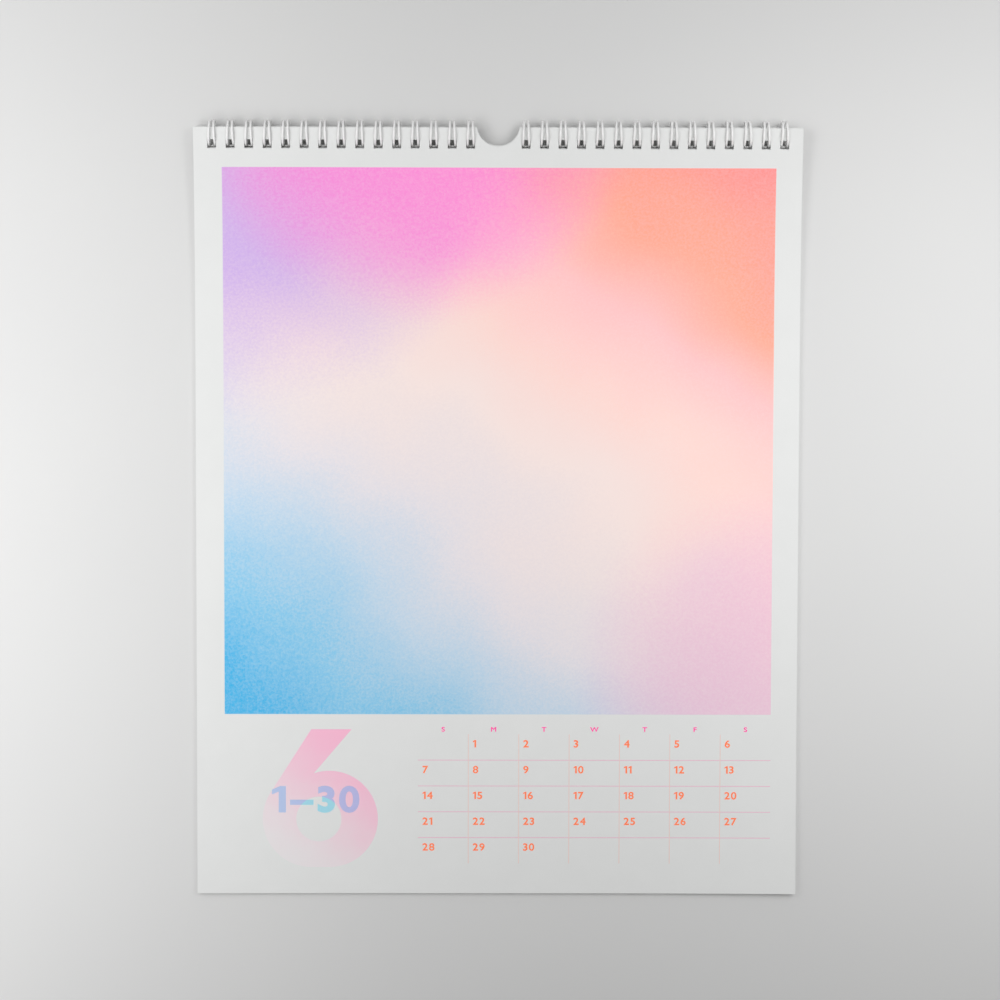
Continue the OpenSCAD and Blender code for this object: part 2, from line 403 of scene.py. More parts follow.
# %% One flat sheet
net, edge_room = 6 * MM, 1 * MM
fine_net, fine_start, fine_end = 3 * MM, 2 * MM, 32 * MM
ring_pitch, first_ring_x, rings_per_comb = 8.467 * MM, 12.7 * MM, 15
ring_r = axis_z
hole_size, hole_play, hole_corner = 4.1 * MM, 0.55 * MM, 0.35 * MM
hole_down = edge_past_axis + ring_r + hole_play - hole_size / 2
thumb_r, thumb_rise = 10 * MM, 1.5 * MM

half_w = sheet_w / 2
thumb_tip = math.degrees(math.asin(thumb_rise / thumb_r))
outline = divided([Vector((-half_w, -sheet_h)), Vector((half_w, -sheet_h)), Vector((half_w, 0))]
                  + arc((0, thumb_rise), thumb_r, -thumb_tip, -180 + thumb_tip, 28)
                  + [Vector((-half_w, 0))], net)
ring_places = [side * (first_ring_x + i * ring_pitch) for side in (-1, 1) for i in range(rings_per_comb)]
inner = hole_size / 2 - hole_corner
holes = []
for x in ring_places:
    hole = []
    for turn, (sx, sy) in enumerate(((1, 1), (-1, 1), (-1, -1), (1, -1))):
        hole += arc((x + sx * inner, -hole_down + sy * inner), hole_corner, 90 * turn, 90 * turn + 90, 3)
    holes.append(hole[::-1])

columns = spacing(-half_w, half_w, net)[1:-1]
fine_rows, wide_rows = spacing(fine_start, fine_end, fine_net), spacing(fine_end, sheet_h, net)
rows = [-down for down in fine_rows[:-1] + wide_rows[:-1]]
flat_sheet = cut([outline, *holes], columns, rows, edge_room)
print("a flat sheet has", len(flat_sheet[0]), "points and", len(flat_sheet[1]), "triangles")

# %% [markdown]
# ## From flat shape to sheet
# A sheet gets its thickness from two levels, one for each face, and a wall along every cut edge.
# A Solidify modifier could do that as well, but it measures across the slope, and the faces of
# neighbouring sheets would then no longer follow the same rule. The bottom corners, which fingers
# lift, stay a little curled.

# %% Lay a flat shape between two levels
def still(x, down):
    """The lift of a sheet that lies as its levels say: none."""
    return 0.0


def curl(right, left):
    """The lift of the two bottom corners, in metres, as a function of the place on the sheet."""
    reach_x, reach_up = 95 * MM, 120 * MM

    def lift(x, down):
        up = (sheet_h - down) / reach_up
        near_right = max(0.0, 1 - (half_w - x) / reach_x - up)
        near_left = max(0.0, 1 - (half_w + x) / reach_x - up)
        return right * near_right ** 2 + left * near_left ** 2
    return lift


def new_object(name, mesh, material):
    """A mesh in the scene, at the origin."""
    piece = bpy.data.objects.new(name, mesh)
    bpy.context.scene.collection.objects.link(piece)
    if material:
        mesh.materials.append(material)
    return piece


def laid(name, flat, below, above, material, lift=still, aside=0.0, down=0.0):
    """A thin solid over a flat shape, between two levels."""
    corners, triangles = flat
    count = len(corners)
    verts = []
    for level in (above, below):
        for corner in corners:
            y, z = level.at(-corner.y + down)
            verts.append((corner.x + aside, y, z + lift(corner.x, -corner.y)))
    faces = list(triangles)
    faces += [tuple(count + i for i in reversed(face)) for face in triangles]
    used = {(a, b) for face in triangles for a, b in zip(face, face[1:] + face[:1])}
    faces += [(b, a, count + a, count + b) for a, b in used if (b, a) not in used]
    mesh = bpy.data.meshes.new(name)
    mesh.from_pydata(verts, [], faces)
    mesh.shade_smooth()
    mesh.set_sharp_from_angle(angle=math.radians(40))
    return new_object(name, mesh, material)


corner_lift = (1.7 * MM, 0.7 * MM)        # at the right corner and at the left one
june_curl = curl(*corner_lift)
print("June's right corner is lifted by", round(june_curl(half_w, sheet_h) / MM, 2), "mm")

# %% [markdown]
# ## The stack, leaf by leaf
# The pads of leaves could be two blocks with lines drawn on their sides, but their edges show:
# after some turning, no leaf lies exactly on the next. So every leaf is a piece of its own, a
# little off its neighbours, and the lower leaves curl less, so that none comes through another.

# %% All the sheets
# The open leaf
june = laid("june_sheet", flat_sheet, Level(open_held, open_flat), june_face, leaf_paper, june_curl)
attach(june, "june_leaf")
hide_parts("june_page")

# The months to come, from the top down
leaf_shave = 0.008 * MM        # air between two leaves of a pad
leaf_drift = 0.22 * MM         # how far a leaf may sit lower or higher than its neighbours
leaf_aside = 0.05 * MM         # how far it may sit to one side
curl_share = 0.55              # what each leaf keeps of the curl of the one above
later_curls = []
for i, month in enumerate(later_months):
    base = later_t - (i + 1) * leaf_t
    share = curl_share ** (i + 1)
    later_curls.append(curl(*(lift * share for lift in corner_lift)))
    leaf = laid(month + "_sheet", flat_sheet,
                Level(later_held + base, later_flat + base),
                Level(later_held + base + leaf_t - leaf_shave, later_flat + base + leaf_t - leaf_shave),
                leaf_paper, later_curls[-1], aside=leaf_aside * math.sin(2.3 * i + 1),
                down=leaf_drift * math.sin(1.9 * i + 0.4))
    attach(leaf, "bound_stack")
    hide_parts("later_pages")

# The board, the cover turned behind it, and the months gone by behind the cover
board = laid("board_sheet", flat_sheet, Level(board_held, board_flat),
             Level(board_held + board_t, board_flat + board_t), board_paper)
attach(board, "bound_stack")
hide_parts("backing_board")
cover = laid("cover_sheet", flat_sheet, Level(cover_held, cover_flat),
             Level(cover_held + cover_t, cover_flat + cover_t), cover_paper, down=0.1 * MM)
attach(cover, "bound_stack")
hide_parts("front_cover")
for i, month in enumerate(earlier_months):
    leaf = laid(month + "_sheet", flat_sheet,
                Level(turned_held + i * leaf_t, i * leaf_t),
                Level(turned_held + (i + 1) * leaf_t - leaf_shave, (i + 1) * leaf_t - leaf_shave),
                leaf_paper, aside=leaf_aside * math.sin(1.7 * i + 2),
                down=leaf_drift * math.sin(2.7 * i + 1))
    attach(leaf, "bound_stack")
    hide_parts("earlier_pages")
print("sheets laid:", 3 + len(later_months) + len(earlier_months))

# %% [markdown]
# ## Geometry Nodes for what repeats
# A comb of rings is one bend of wire, again and again, and the date grid is one line, again and
# again. Copies could be made in a Python loop, but a node tree keeps the count, the pitch and the
# thickness as named inputs that can still be tried out. This helper starts such a tree, and the
# next one runs it and keeps the result as a plain mesh.

# %% Start and run a node tree
def new_tree(name, inputs):
    """A geometry tree with a geometry socket at both ends and these named inputs."""
    tree = bpy.data.node_groups.new(name, "GeometryNodeTree")
    identifiers = {}
    for label, kind in {"Geometry": "NodeSocketGeometry", **inputs}.items():
        socket = tree.interface.new_socket(label, in_out="INPUT", socket_type=kind)
        identifiers[label] = socket.identifier
    tree.interface.new_socket("Geometry", in_out="OUTPUT", socket_type="NodeSocketGeometry")
    entry = add_node(tree, "NodeGroupInput")
    print("tree", name, "has the inputs", list(inputs))
    return tree, entry, identifiers


def end_tree(tree, geometry_out, material):
    """Realize Instances and Set Material, and the way out."""
    real = add_node(tree, "GeometryNodeRealizeInstances", None, {"Geometry": geometry_out})
    coated = add_node(tree, "GeometryNodeSetMaterial", None,
                      {"Geometry": real.outputs[0], "Material": material})
    add_node(tree, "NodeGroupOutput", None, {0: coated.outputs[0]})


def run_tree(name, mesh, tree, identifiers, values):
    """The tree's result on a mesh, as a plain mesh."""
    carrier = new_object(name + "_carrier", mesh, None)
    modifier = carrier.modifiers.new("nodes", "NODES")
    modifier.node_group = tree
    for key, value in values.items():
        modifier[identifiers[key]] = value
    graph = bpy.context.evaluated_depsgraph_get()
    result = bpy.data.meshes.new_from_object(carrier.evaluated_get(graph))
    bpy.data.objects.remove(carrier)
    result.name = name
    return result

# %% [markdown]
# ## The wire combs
# Each comb is a single steel wire in a white nylon coat, bent into double loops: up over the
# binding and down through a hole, round to a narrow tip, and back again to the seam, where it
# runs on to the next ring. The coat is smooth but not even: it has low waves and dust on it. Where
# the wire is snipped, bare steel shows. Plain white plastic would look like a line drawn in paint.

# %% White coated wire, and bare steel where it is snipped
coat = Finish("white_wire_coat")
dust = coat.noise(0.5 * MM, 3, 0.6)
waves = coat.noise(2.5 * MM, 2, 0.5)
coat.bump(waves * 0.7 + dust * 0.3, 0.012 * MM)
wire_coat = coat.set(Base_Color=coat.blend(coat.step(dust, 0.3, 0.75), "fafaf9", "fdfdfd"),
                     Roughness=0.3 + 0.16 * waves, Specular_IOR_Level=0.5, Coat_Weight=0.2,
                     Coat_Roughness=0.2)
steel = Finish("snipped_steel")
grain = steel.noise(0.06 * MM, 2, 0.6, (1, 0.2, 1))
steel.bump(grain, 0.01 * MM)
wire_steel = steel.set(Base_Color=steel.blend(grain, "8f9194", "c4c6c8"), Metallic=1.0,
                       Roughness=0.3 + 0.2 * grain)

# %% [markdown]
# ## One ring's path
# The shape could be a torus for each ring, but then the seam wires and the tips would be missing.
# Seen from the side, a leg is nearly a full circle round the hinge axis, and from the front the
# two legs draw apart towards the back. So the path is worked out from circles: a small half turn
# at the tip, the long leg in a plane of its own, and a tight bend into the seam. One half is made
# as points, from tip to seam, and mirrored.

# %% One ring's path
front_spread, root_spread, root_bend_r = 0.95 * MM, 1.45 * MM, 0.8 * MM
end_stub, tip_drop = 1.2 * MM, 0.3 * MM
loop_r = ring_r - wire_d / 2
lean = (root_spread - front_spread) / 2
leg_mid = Vector((front_spread + lean, 0, 0))
leg_r = math.hypot(lean, loop_r)
leg_front = Vector((-lean, loop_r, 0)) / leg_r
up = Vector((0, 0, 1))


def on_leg(angle):
    """A point of the leg's circle. The angle is 0 at the front and grows over the top."""
    return leg_mid + leg_r * (math.cos(angle) * leg_front + math.sin(angle) * up)


def turn(centre, radius, out, along, angle, steps):
    """Points on an arc that starts on the side `out` of its centre and sets off `along`."""
    return [centre + radius * (math.cos(angle * i / steps) * out + math.sin(angle * i / steps) * along)
            for i in range(steps + 1)]


root_angle = math.pi - math.asin((seam_held + root_bend_r) / leg_r)
root_along = -math.sin(root_angle) * leg_front + math.cos(root_angle) * up
root_turn = math.acos(root_along.x)
root_out = (root_along.x * root_along - Vector((1, 0, 0))) / math.sin(root_turn)
root_centre = on_leg(root_angle) - root_bend_r * root_out
tip_lift = (math.atan(root_spread / leg_r)
            - math.asin((seam_held - tip_drop) / math.hypot(root_spread, leg_r)))
tip_angle = math.pi - tip_lift
tip_start = on_leg(-tip_angle)
tip_along = Vector((0, -math.sin(tip_lift), math.cos(tip_lift)))

leg_steps = 68
half_ring = turn(Vector((0, tip_start.y, tip_start.z)), tip_start.x, tip_along, Vector((1, 0, 0)),
                 math.pi / 2, 6)[:-1]
half_ring += [on_leg(-tip_angle + (tip_angle + root_angle) * i / leg_steps) for i in range(leg_steps)]
half_ring += turn(root_centre, root_bend_r, root_out, root_along, root_turn, 6)
root_end = half_ring[-1]
half_ring.append(Vector((ring_pitch / 2, root_end.y, root_end.z)))
one_ring = [Vector((-p.x, p.y, p.z)) for p in reversed(half_ring)] + half_ring[1:]
print("one ring's path:", len(one_ring), "points,",
      round(sum((b - a).length for a, b in zip(one_ring, one_ring[1:])) / MM, 1), "mm of wire")

# %% [markdown]
# ## From one ring to a comb
# The node tree sets the path on a row of points, welds the copies into one long path, trims both
# ends where the wire is snipped, and sweeps a round profile along it. Fifteen swept rings could
# be joined as well, but a single path has no hidden ends where two rings meet.

# %% Repeat the ring and sweep the wire
tree, entry, ids = new_tree("twin_loop_comb", {
    "Rings": "NodeSocketInt", "Pitch": "NodeSocketFloat", "Wire radius": "NodeSocketFloat",
    "Sides": "NodeSocketInt", "Snip": "NodeSocketFloat", "Material": "NodeSocketMaterial"})
step = add_node(tree, "ShaderNodeCombineXYZ", None, {"X": entry.outputs["Pitch"]})
places = add_node(tree, "GeometryNodeMeshLine", None,
                  {"Count": entry.outputs["Rings"], "Offset": step.outputs[0]})
rings = add_node(tree, "GeometryNodeInstanceOnPoints", None,
                 {"Points": places.outputs[0], "Instance": entry.outputs["Geometry"]})
loose = add_node(tree, "GeometryNodeRealizeInstances", None, {"Geometry": rings.outputs[0]})
weld = add_node(tree, "GeometryNodeMergeByDistance", None,
                {"Geometry": loose.outputs[0], "Distance": 0.01 * MM})
path = add_node(tree, "GeometryNodeMeshToCurve", None, {"Mesh": weld.outputs[0]})
length = add_node(tree, "GeometryNodeCurveLength", None, {"Curve": path.outputs[0]})
far_end = add_node(tree, "ShaderNodeMath", {"operation": "SUBTRACT"},
                   {0: length.outputs[0], 1: entry.outputs["Snip"]})
trimmed = add_node(tree, "GeometryNodeTrimCurve", {"mode": "LENGTH"},
                   {"Curve": path.outputs[0], 4: entry.outputs["Snip"], 5: far_end.outputs[0]})
profile = add_node(tree, "GeometryNodeCurvePrimitiveCircle", None,
                   {"Resolution": entry.outputs["Sides"], "Radius": entry.outputs["Wire radius"]})
swept = add_node(tree, "GeometryNodeCurveToMesh", None,
                 {"Curve": trimmed.outputs[0], "Profile Curve": profile.outputs[0], "Fill Caps": True})
end_tree(tree, swept.outputs[0], entry.outputs["Material"])

at_rings = Matrix.Translation((0, axis_y, axis_z)) @ Matrix.Rotation(ring_slope, 4, "X")
for side, node in ((-1, "binding_left"), (1, "binding_right")):
    path_mesh = bpy.data.meshes.new("ring_path")
    path_mesh.from_pydata([tuple(p) for p in one_ring], [(i, i + 1) for i in range(len(one_ring) - 1)], [])
    comb = run_tree("wire_comb_" + node.split("_")[1], path_mesh, tree, ids, {
        "Rings": rings_per_comb, "Pitch": ring_pitch, "Wire radius": wire_d / 2, "Sides": 12,
        "Snip": ring_pitch / 2 - root_end.x - end_stub, "Material": wire_coat})
    start = first_ring_x if side > 0 else -first_ring_x - (rings_per_comb - 1) * ring_pitch
    comb.transform(at_rings @ Matrix.Translation((start, 0, 0)))
    comb.materials.append(wire_steel)
    for face in comb.polygons:
        if len(face.vertices) > 4:
            face.material_index = 1
    comb.shade_smooth()
    comb.set_sharp_from_angle(angle=math.radians(50))
    piece = new_object(comb.name, comb, None)
    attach(piece, "bound_stack")
    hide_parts(node)
    print(piece.name, "has", len(comb.polygons), "faces")

# %% [markdown]
# ## Ink
# The print is of the kind that lays spot colours on rough paper one after another. The ink dries
# as fine grain: where it is thin, the paper shows between its dots. So each ink is a colour whose
# strength a fine noise breaks up, on a surface that stays as matt as the paper under it. Fluorescent
# inks turn light that the eye can't see into red. A brighter colour can't show that, because no
# surface gives back more than it gets, so those inks have a faint red glow of their own.

# %% Spot inks
def ink(name, strong, thin, glow=0.0):
    """A spot colour that thins out between its dots. A fluorescent one gives back extra light."""
    dot = 0.3 * MM
    made = Finish(name)
    dots = made.step(made.noise(dot, 2, 0.7), 0.3, 0.75)
    made.bump(dots, 0.006 * MM)
    return made.set(Base_Color=made.blend(dots, strong, thin), Roughness=0.7 + 0.15 * dots,
                    Specular_IOR_Level=0.3, Emission_Color=(1.0, 0.15, 0.1, 1), Emission_Strength=glow)


date_ink = ink("coral_ink", "ff7c4c", "ff9468", glow=0.16)
weekday_ink = ink("pink_ink", "ff46aa", "ff60b8", glow=0.14)
column_ink = ink("salmon_line_ink", "f3d3cb", "f1dcd7")
row_ink = ink("rose_line_ink", "f2b6cd", "f1cada")
print("spot inks:", [one.name for one in (date_ink, weekday_ink, column_ink, row_ink)])

# %% [markdown]
# ## A sky of colours
# The picture is made of soft colours that run into each other. A ramp along a slope gives the
# ground, from blue through cream to coral, and a few round fields lie over it. Wide noise bends
# them all, so that no edge looks drawn, and fine noise is the grain of the ink. A painted image
# would be quicker to make, but its grain would turn to blocks up close.

# %% Picture inks
def colour_sky(name, slope, stops, fields, box):
    """Colours that run into each other along a slope, with a few soft fields laid over them.
    Places and reaches are shares of the picture's sides."""
    lo, hi = box
    size = hi - lo
    made = Finish(name)
    place_x, place_y = made.parts()
    across, upward = (place_x - lo.x) * (1 / size.x), (place_y - lo.y) * (1 / size.y)
    drift = made.noise(110 * MM, 2, 0.5) - 0.5
    coarse = made.noise(1.1 * MM, 2, 0.6) - 0.5
    fine = made.noise(0.35 * MM, 2, 0.7) - 0.5
    start, rise_x, rise_y = slope
    along = across * rise_x + upward * rise_y + start + drift * 0.28 + coarse * 0.05
    base = made.node("ShaderNodeValToRGB", {"stops": [(at, srgb(tint)) for at, tint in stops]},
                     {"Fac": along})
    for (x, y), (reach_x, reach_y), tint, strength in fields:
        aside = (across - x) * (1 / reach_x)
        above = (upward - y) * (1 / reach_y)
        far = aside * aside + above * above + drift * 0.8
        base = made.blend(made.step(far + coarse * 0.2, 1.0, 0.0) * strength, base, tint)
    thin = made.step(coarse * 0.6 + fine * 0.5, -0.2, 0.24)
    base = made.blend(thin * 0.2, base, "fbf6f4")
    made.bump(fine, 0.006 * MM)
    # Painted light: the warm end of the ramp has a faint red glow of its own, as the fluorescent inks
    # have.
    glow = made.blend(made.step(along, 0.45, 0.8), (0, 0, 0, 1), (1.0, 0.2, 0.25, 1))
    return made.set(Base_Color=base, Roughness=0.8 + 0.2 * fine, Specular_IOR_Level=0.3,
                    Emission_Color=glow, Emission_Strength=0.09)


june_slope = (0.0, 0.42, 0.58)
june_stops = [(0.02, "3ab8ee"), (0.13, "86ccf0"), (0.25, "c3dbef"), (0.37, "e9e4ea"), (0.50, "fce8e3"),
              (0.62, "ffdcd4"), (0.74, "ffc6c6"), (0.85, "ffa98e"), (0.97, "ff8f8f")]
june_fields = [
    ((0.00, 1.00), (0.50, 0.50), "c9a4ee", 0.85),
    ((0.36, 1.05), (0.40, 0.34), "ff86dc", 0.9),
    ((1.02, 0.10), (0.42, 0.34), "f3c3dd", 0.8),
]
print("June's sky has", len(june_stops), "stops and", len(june_fields), "fields")

# %% [markdown]
# ## The picture
# The printed field could be a part of the leaf's material, but its edges would then be formulas.
# It is a sheet of its own on top of the leaf instead, as thin as ink, and it follows the leaf's
# slope and curl. Its edges come from the CAD node that it stands for.

# %% Picture on the open leaf
ink_t = 0.02 * MM
ink_sunk = 0.01 * MM


def print_levels(held, flat):
    """The two faces of a film of ink on a leaf whose face has these heights."""
    return (Level(held - ink_sunk, flat - ink_sunk), Level(held + ink_t, flat + ink_t))


def field_shape(left, right, top, bottom):
    """A rectangle on the sheet, with top and bottom measured down from the top edge."""
    loop = divided([Vector((left, -bottom)), Vector((right, -bottom)), Vector((right, -top)),
                    Vector((left, -top))], net)
    inner_rows = [-down for down in spacing(top, bottom, net)[1:-1]]
    return cut([loop], spacing(left, right, net)[1:-1], inner_rows, edge_room)


picture_lo, picture_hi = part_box("picture_print")
picture_top, picture_bottom = june_face.down_at(picture_hi.y), june_face.down_at(picture_lo.y)
picture_shape = field_shape(picture_lo.x, picture_hi.x, picture_top, picture_bottom)
june_on = (open_held + leaf_t, open_flat + leaf_t, june_curl)
june_sky = colour_sky("june_picture_ink", june_slope, june_stops, june_fields, (picture_lo, picture_hi))
picture = laid("june_picture", picture_shape, *print_levels(*june_on[:2]), june_sky, june_curl)
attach(picture, "june_leaf")
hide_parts("picture_print")
print("picture", round((picture_hi.x - picture_lo.x) / MM, 1), "mm wide,",
      round((picture_bottom - picture_top) / MM, 1), "mm high")

# %% [markdown]
# ## Lettering
# The dates, the weekdays' initials and the day span are set in type. Blender's font has an offset
# of its own for bold letters, but sharp inner corners then cross and leave dark specks. So only
# the font's outlines are taken. Each is moved outwards along its corners' bisectors, and the
# rule that fills shapes here does not mind a crossing. The font's figure one is a plain stroke,
# easily taken for a letter, so that sign is drawn with a flag.

# %% Signs from the font's outlines
def area(loop):
    """Above 0 for a loop that runs counterclockwise."""
    return sum(a.cross(b) for a, b in zip(loop, loop[1:] + loop[:1])) / 2


def type_loops(sign):
    """The outlines of one sign of the built-in font, in shares of the type size."""
    curve = bpy.data.curves.new("sign", "FONT")
    curve.body, curve.fill_mode, curve.resolution_u = sign, "NONE", 5
    holder = bpy.data.objects.new("sign", curve)
    bpy.context.scene.collection.objects.link(holder)
    graph = bpy.context.evaluated_depsgraph_get()
    mesh = bpy.data.meshes.new_from_object(holder.evaluated_get(graph))
    bpy.data.objects.remove(holder)
    joined = {tuple(sorted(edge.vertices)) for edge in mesh.edges}
    loops, loop = [], []
    for i, vert in enumerate(mesh.vertices):
        if not loop or (vert.co.xy - loop[-1]).length > 0.001:
            loop.append(vert.co.xy)
        if (i, i + 1) not in joined:
            loops.append(loop)
            loop = []
    if area(max(loops, key=lambda one: abs(area(one)))) < 0:
        loops = [one[::-1] for one in loops]
    return loops


def extent(loops):
    """The lowest and the highest corner of some loops."""
    xs = [p.x for loop in loops for p in loop]
    ys = [p.y for loop in loops for p in loop]
    return Vector((min(xs), min(ys))), Vector((max(xs), max(ys)))


def bolder(loop, weight):
    """A loop moved outwards. Holes shrink less, so the small ones stay open."""
    weight *= 1.0 if area(loop) > 0 else 0.6
    result = []
    for before, here, after in zip(loop[-1:] + loop[:-1], loop, loop[1:] + loop[:1]):
        first, second = (here - before).normalized(), (after - here).normalized()
        out = Vector((first.y + second.y, -first.x - second.x))
        result.append(here + out * (weight / max(0.4, 1 + first.dot(second))))
    return result


def flagged_one(stem, tall, low):
    """A figure one with a flag, whose stem has this width and height and stands at this depth."""
    flag = 0.95 * stem
    points = [(flag, 0), (flag + stem, 0), (flag + stem, tall), (flag + 0.2 * stem, tall),
              (0, 0.86 * tall), (0, 0.68 * tall), (flag, 0.79 * tall)]
    return [Vector((x, low + y)) for x, y in points]


type_sheet = {sign: type_loops(sign) for sign in "0123456789–SMTWF"}
figure_h = extent(type_sheet["0"])[1].y - extent(type_sheet["0"])[0].y
plain_low, plain_high = extent(type_sheet["1"])
print("figures are", round(figure_h, 3), "of the type size")

# %% [markdown]
# ## Setting words
# A compositor sets even gaps between signs, and so does this function: it takes each sign's real
# width, not the room that the font gives it. All words of one ink become one film on the leaf,
# as they come off one printing plate. Each could be a piece of its own, but forty pieces would be
# hard to keep in order.

# %% Set words
gap_share = 0.17        # the gap between two signs, as a share of their height


def word_loops(text, height, weight, stretch):
    """The outlines of a word with even gaps between its signs, and the word's width."""
    size, gap = height / figure_h, gap_share * height
    loops, edge = [], 0.0
    for sign in text:
        sign_loops = [bolder([p * size for p in loop], weight) for loop in type_sheet[sign]]
        if sign == "1":
            stem, tall = (plain_high - plain_low) * size + Vector((2 * weight, 2 * weight))
            sign_loops = [flagged_one(stem, tall, plain_low.y * size - weight)]
        low, high = extent(sign_loops)
        loops += [[Vector(((p.x - low.x) * stretch + edge, p.y)) for p in loop] for loop in sign_loops]
        edge += (high.x - low.x) * stretch + gap
    return loops, edge - gap


def set_words(name, words, height, weight, stretch, material, held, flat, lift):
    """One film of ink from several words. Each has the place of its foot on the sheet, and the
    share of its width that lies left of there."""
    corners, faces = [], []
    for text, x, y, share in words:
        loops, width = word_loops(text, height, weight, stretch)
        start = Vector((x - share * width, y))
        word_corners, word_faces = cut([[start + p for p in loop] for loop in loops], [], [], 0)
        faces += [tuple(len(corners) + i for i in face) for face in word_faces]
        corners += word_corners
    return laid(name, (corners, faces), *print_levels(held, flat), material, lift)


print("30 set 10 mm high is", round(word_loops("30", 10 * MM, 0, 1)[1] / MM, 1), "mm wide")

# %% [markdown]
# ## The date grid
# Thin lines part the days: salmon between the columns, rose between the rows. They could be
# stripes in a material, but a film as thin as ink has sharp edges from any distance. A node tree
# repeats one line along a row of points, and every line has enough points to follow the leaf.

# %% Grid lines from a node tree
line_tree, line_entry, line_ids = new_tree("ruled_lines", {
    "Count": "NodeSocketInt", "Spacing": "NodeSocketVector", "Line size": "NodeSocketVector",
    "Points X": "NodeSocketInt", "Points Y": "NodeSocketInt", "Material": "NodeSocketMaterial"})
line_places = add_node(line_tree, "GeometryNodeMeshLine", None,
                       {"Count": line_entry.outputs["Count"], "Offset": line_entry.outputs["Spacing"]})
one_line = add_node(line_tree, "GeometryNodeMeshCube", None,
                    {"Size": line_entry.outputs["Line size"], "Vertices X": line_entry.outputs["Points X"],
                     "Vertices Y": line_entry.outputs["Points Y"]})
lines = add_node(line_tree, "GeometryNodeInstanceOnPoints", None,
                 {"Points": line_places.outputs[0], "Instance": one_line.outputs[0]})
end_tree(line_tree, lines.outputs[0], line_entry.outputs["Material"])

# %% [markdown]
# ## A month's print
# The grid ends on the right where the picture does, and it is seven days wide and five weeks high.
# A date stands near its cell's top left corner, and an initial over the middle of its column.
# Printers lay type out from such a grid of equal cells, and so a function needs no more than a
# month's first weekday and its number of days.

# %% Grid sizes, and a month's print
column_w, row_h, line_w, grid_bottom = 23.5 * MM, 12.15 * MM, 0.35 * MM, 14.1 * MM
date_h, date_weight, date_stretch = 3.3 * MM, 0.13 * MM, 1.1
date_inset, date_drop = 2.1 * MM, 6.05 * MM
initial_h, initial_weight, initial_stretch, initial_rise = 2.1 * MM, 0.08 * MM, 1.2, 1.3 * MM
weekdays, weeks = 7, 5
print_right = picture_hi.x
grid_left = print_right - weekdays * column_w
grid_foot = -sheet_h + grid_bottom
grid_head = grid_foot + weeks * row_h
film_t = ink_t + ink_sunk


def press(mesh, held, flat, lift):
    """Moves a flat mesh onto a leaf's face. Its z becomes its height over the paper."""
    face = Level(held, flat)
    for vert in mesh.vertices:
        x, y, z = vert.co
        place_y, place_z = face.at(-y)
        vert.co = (x, place_y, place_z + z + lift(x, -y))


def ruled(name, first, spacing_vector, count, size, points, material, held, flat, lift):
    """Lines of one direction, as a film of ink on a leaf."""
    mesh = run_tree(name, bpy.data.meshes.new("lines"), line_tree, line_ids, {
        "Count": count, "Spacing": spacing_vector, "Line size": size,
        "Points X": points[0], "Points Y": points[1], "Material": material})
    mesh.transform(Matrix.Translation((*first, (ink_t - ink_sunk) / 2)))
    press(mesh, held, flat, lift)
    return new_object(name, mesh, None)


def month_print(month, first_day, days, body, held, flat, lift):
    """The rules, dates and initials of a month, and what they are."""
    on = (held, flat, lift)
    # The row lines are a little thinner, so that no two faces share a plane where lines cross
    columns_at = (grid_left + column_w, (grid_foot + grid_head) / 2)
    rows_at = ((grid_left + print_right) / 2, grid_foot + row_h)
    column_size, row_size = ((line_w, weeks * row_h, film_t),
                             (weekdays * column_w, line_w * 0.9, film_t * 0.8))
    made = [ruled(month + "_column_rules", columns_at, (column_w, 0, 0), weekdays - 1,
                  column_size, (2, 24), column_ink, *on),
            ruled(month + "_row_rules", rows_at, (0, row_h, 0), weeks - 1,
                  row_size, (60, 2), row_ink, *on)]
    dates = []
    for day in range(1, days + 1):
        cell = first_day + day - 1
        column, week = cell % weekdays, cell // weekdays
        dates.append((str(day), grid_left + column * column_w + date_inset,
                      grid_head - week * row_h - date_drop, 0))
    initials = [(letter, grid_left + (i + 0.5) * column_w, grid_head + initial_rise, 0.5)
                for i, letter in enumerate("SMTWTFS")]
    made.append(set_words(month + "_dates", dates, date_h, date_weight, date_stretch, date_ink, *on))
    made.append(set_words(month + "_weekdays", initials, initial_h, initial_weight, initial_stretch,
                          weekday_ink, *on))
    for piece in made:
        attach(piece, body)
    return made


june_print = month_print("june", 1, 30, "june_leaf", *june_on)
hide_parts("grid_print")
print("June's print:", [piece.name for piece in june_print])

# %% [markdown]
# ## The big numerals
# June has a wide round six with a slanted stem, and the next leaf a seven of the same weight.
# Big figures could come from the font too, but it has none as heavy and as round, and a circle
# and two straight edges draw the six exactly.

# %% Numeral outlines
numeral_w, numeral_h, bowl_h, stem_w = 53.7 * MM, 64.8 * MM, 45.3 * MM, 18.8 * MM
counter_d, counter_shift = 21.1 * MM, 0.7 * MM
numeral_left, numeral_bottom = 30.5 * MM, 12.3 * MM
foot = Vector((numeral_left - half_w, -sheet_h + numeral_bottom))
numeral_lo, numeral_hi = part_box("numeral_print")


def six():
    """The bowl and stem as one outline, and the hole."""
    bowl_r = bowl_h / 2
    slant = math.asin(bowl_r / (numeral_h - bowl_r))
    notch_angle = 108.5
    loop = arc((numeral_w - bowl_r, bowl_r), bowl_r, -90, notch_angle, 40)
    loop += [Vector((bowl_r + stem_w, numeral_h)), Vector((bowl_r, numeral_h))]
    loop += arc((bowl_r, bowl_r), bowl_r, 180 - math.degrees(slant), 270, 26)
    hole = arc((numeral_w / 2 - counter_shift, bowl_r), counter_d / 2, 360, 0, 48)[:-1]
    return [[foot + p for p in divided(loop, net)], [foot + p for p in hole]]


seven_bar, seven_foot = 16.5 * MM, 9 * MM
leg_head = numeral_h - seven_bar * 0.7
seven_lean = (numeral_w - seven_foot - stem_w) / leg_head


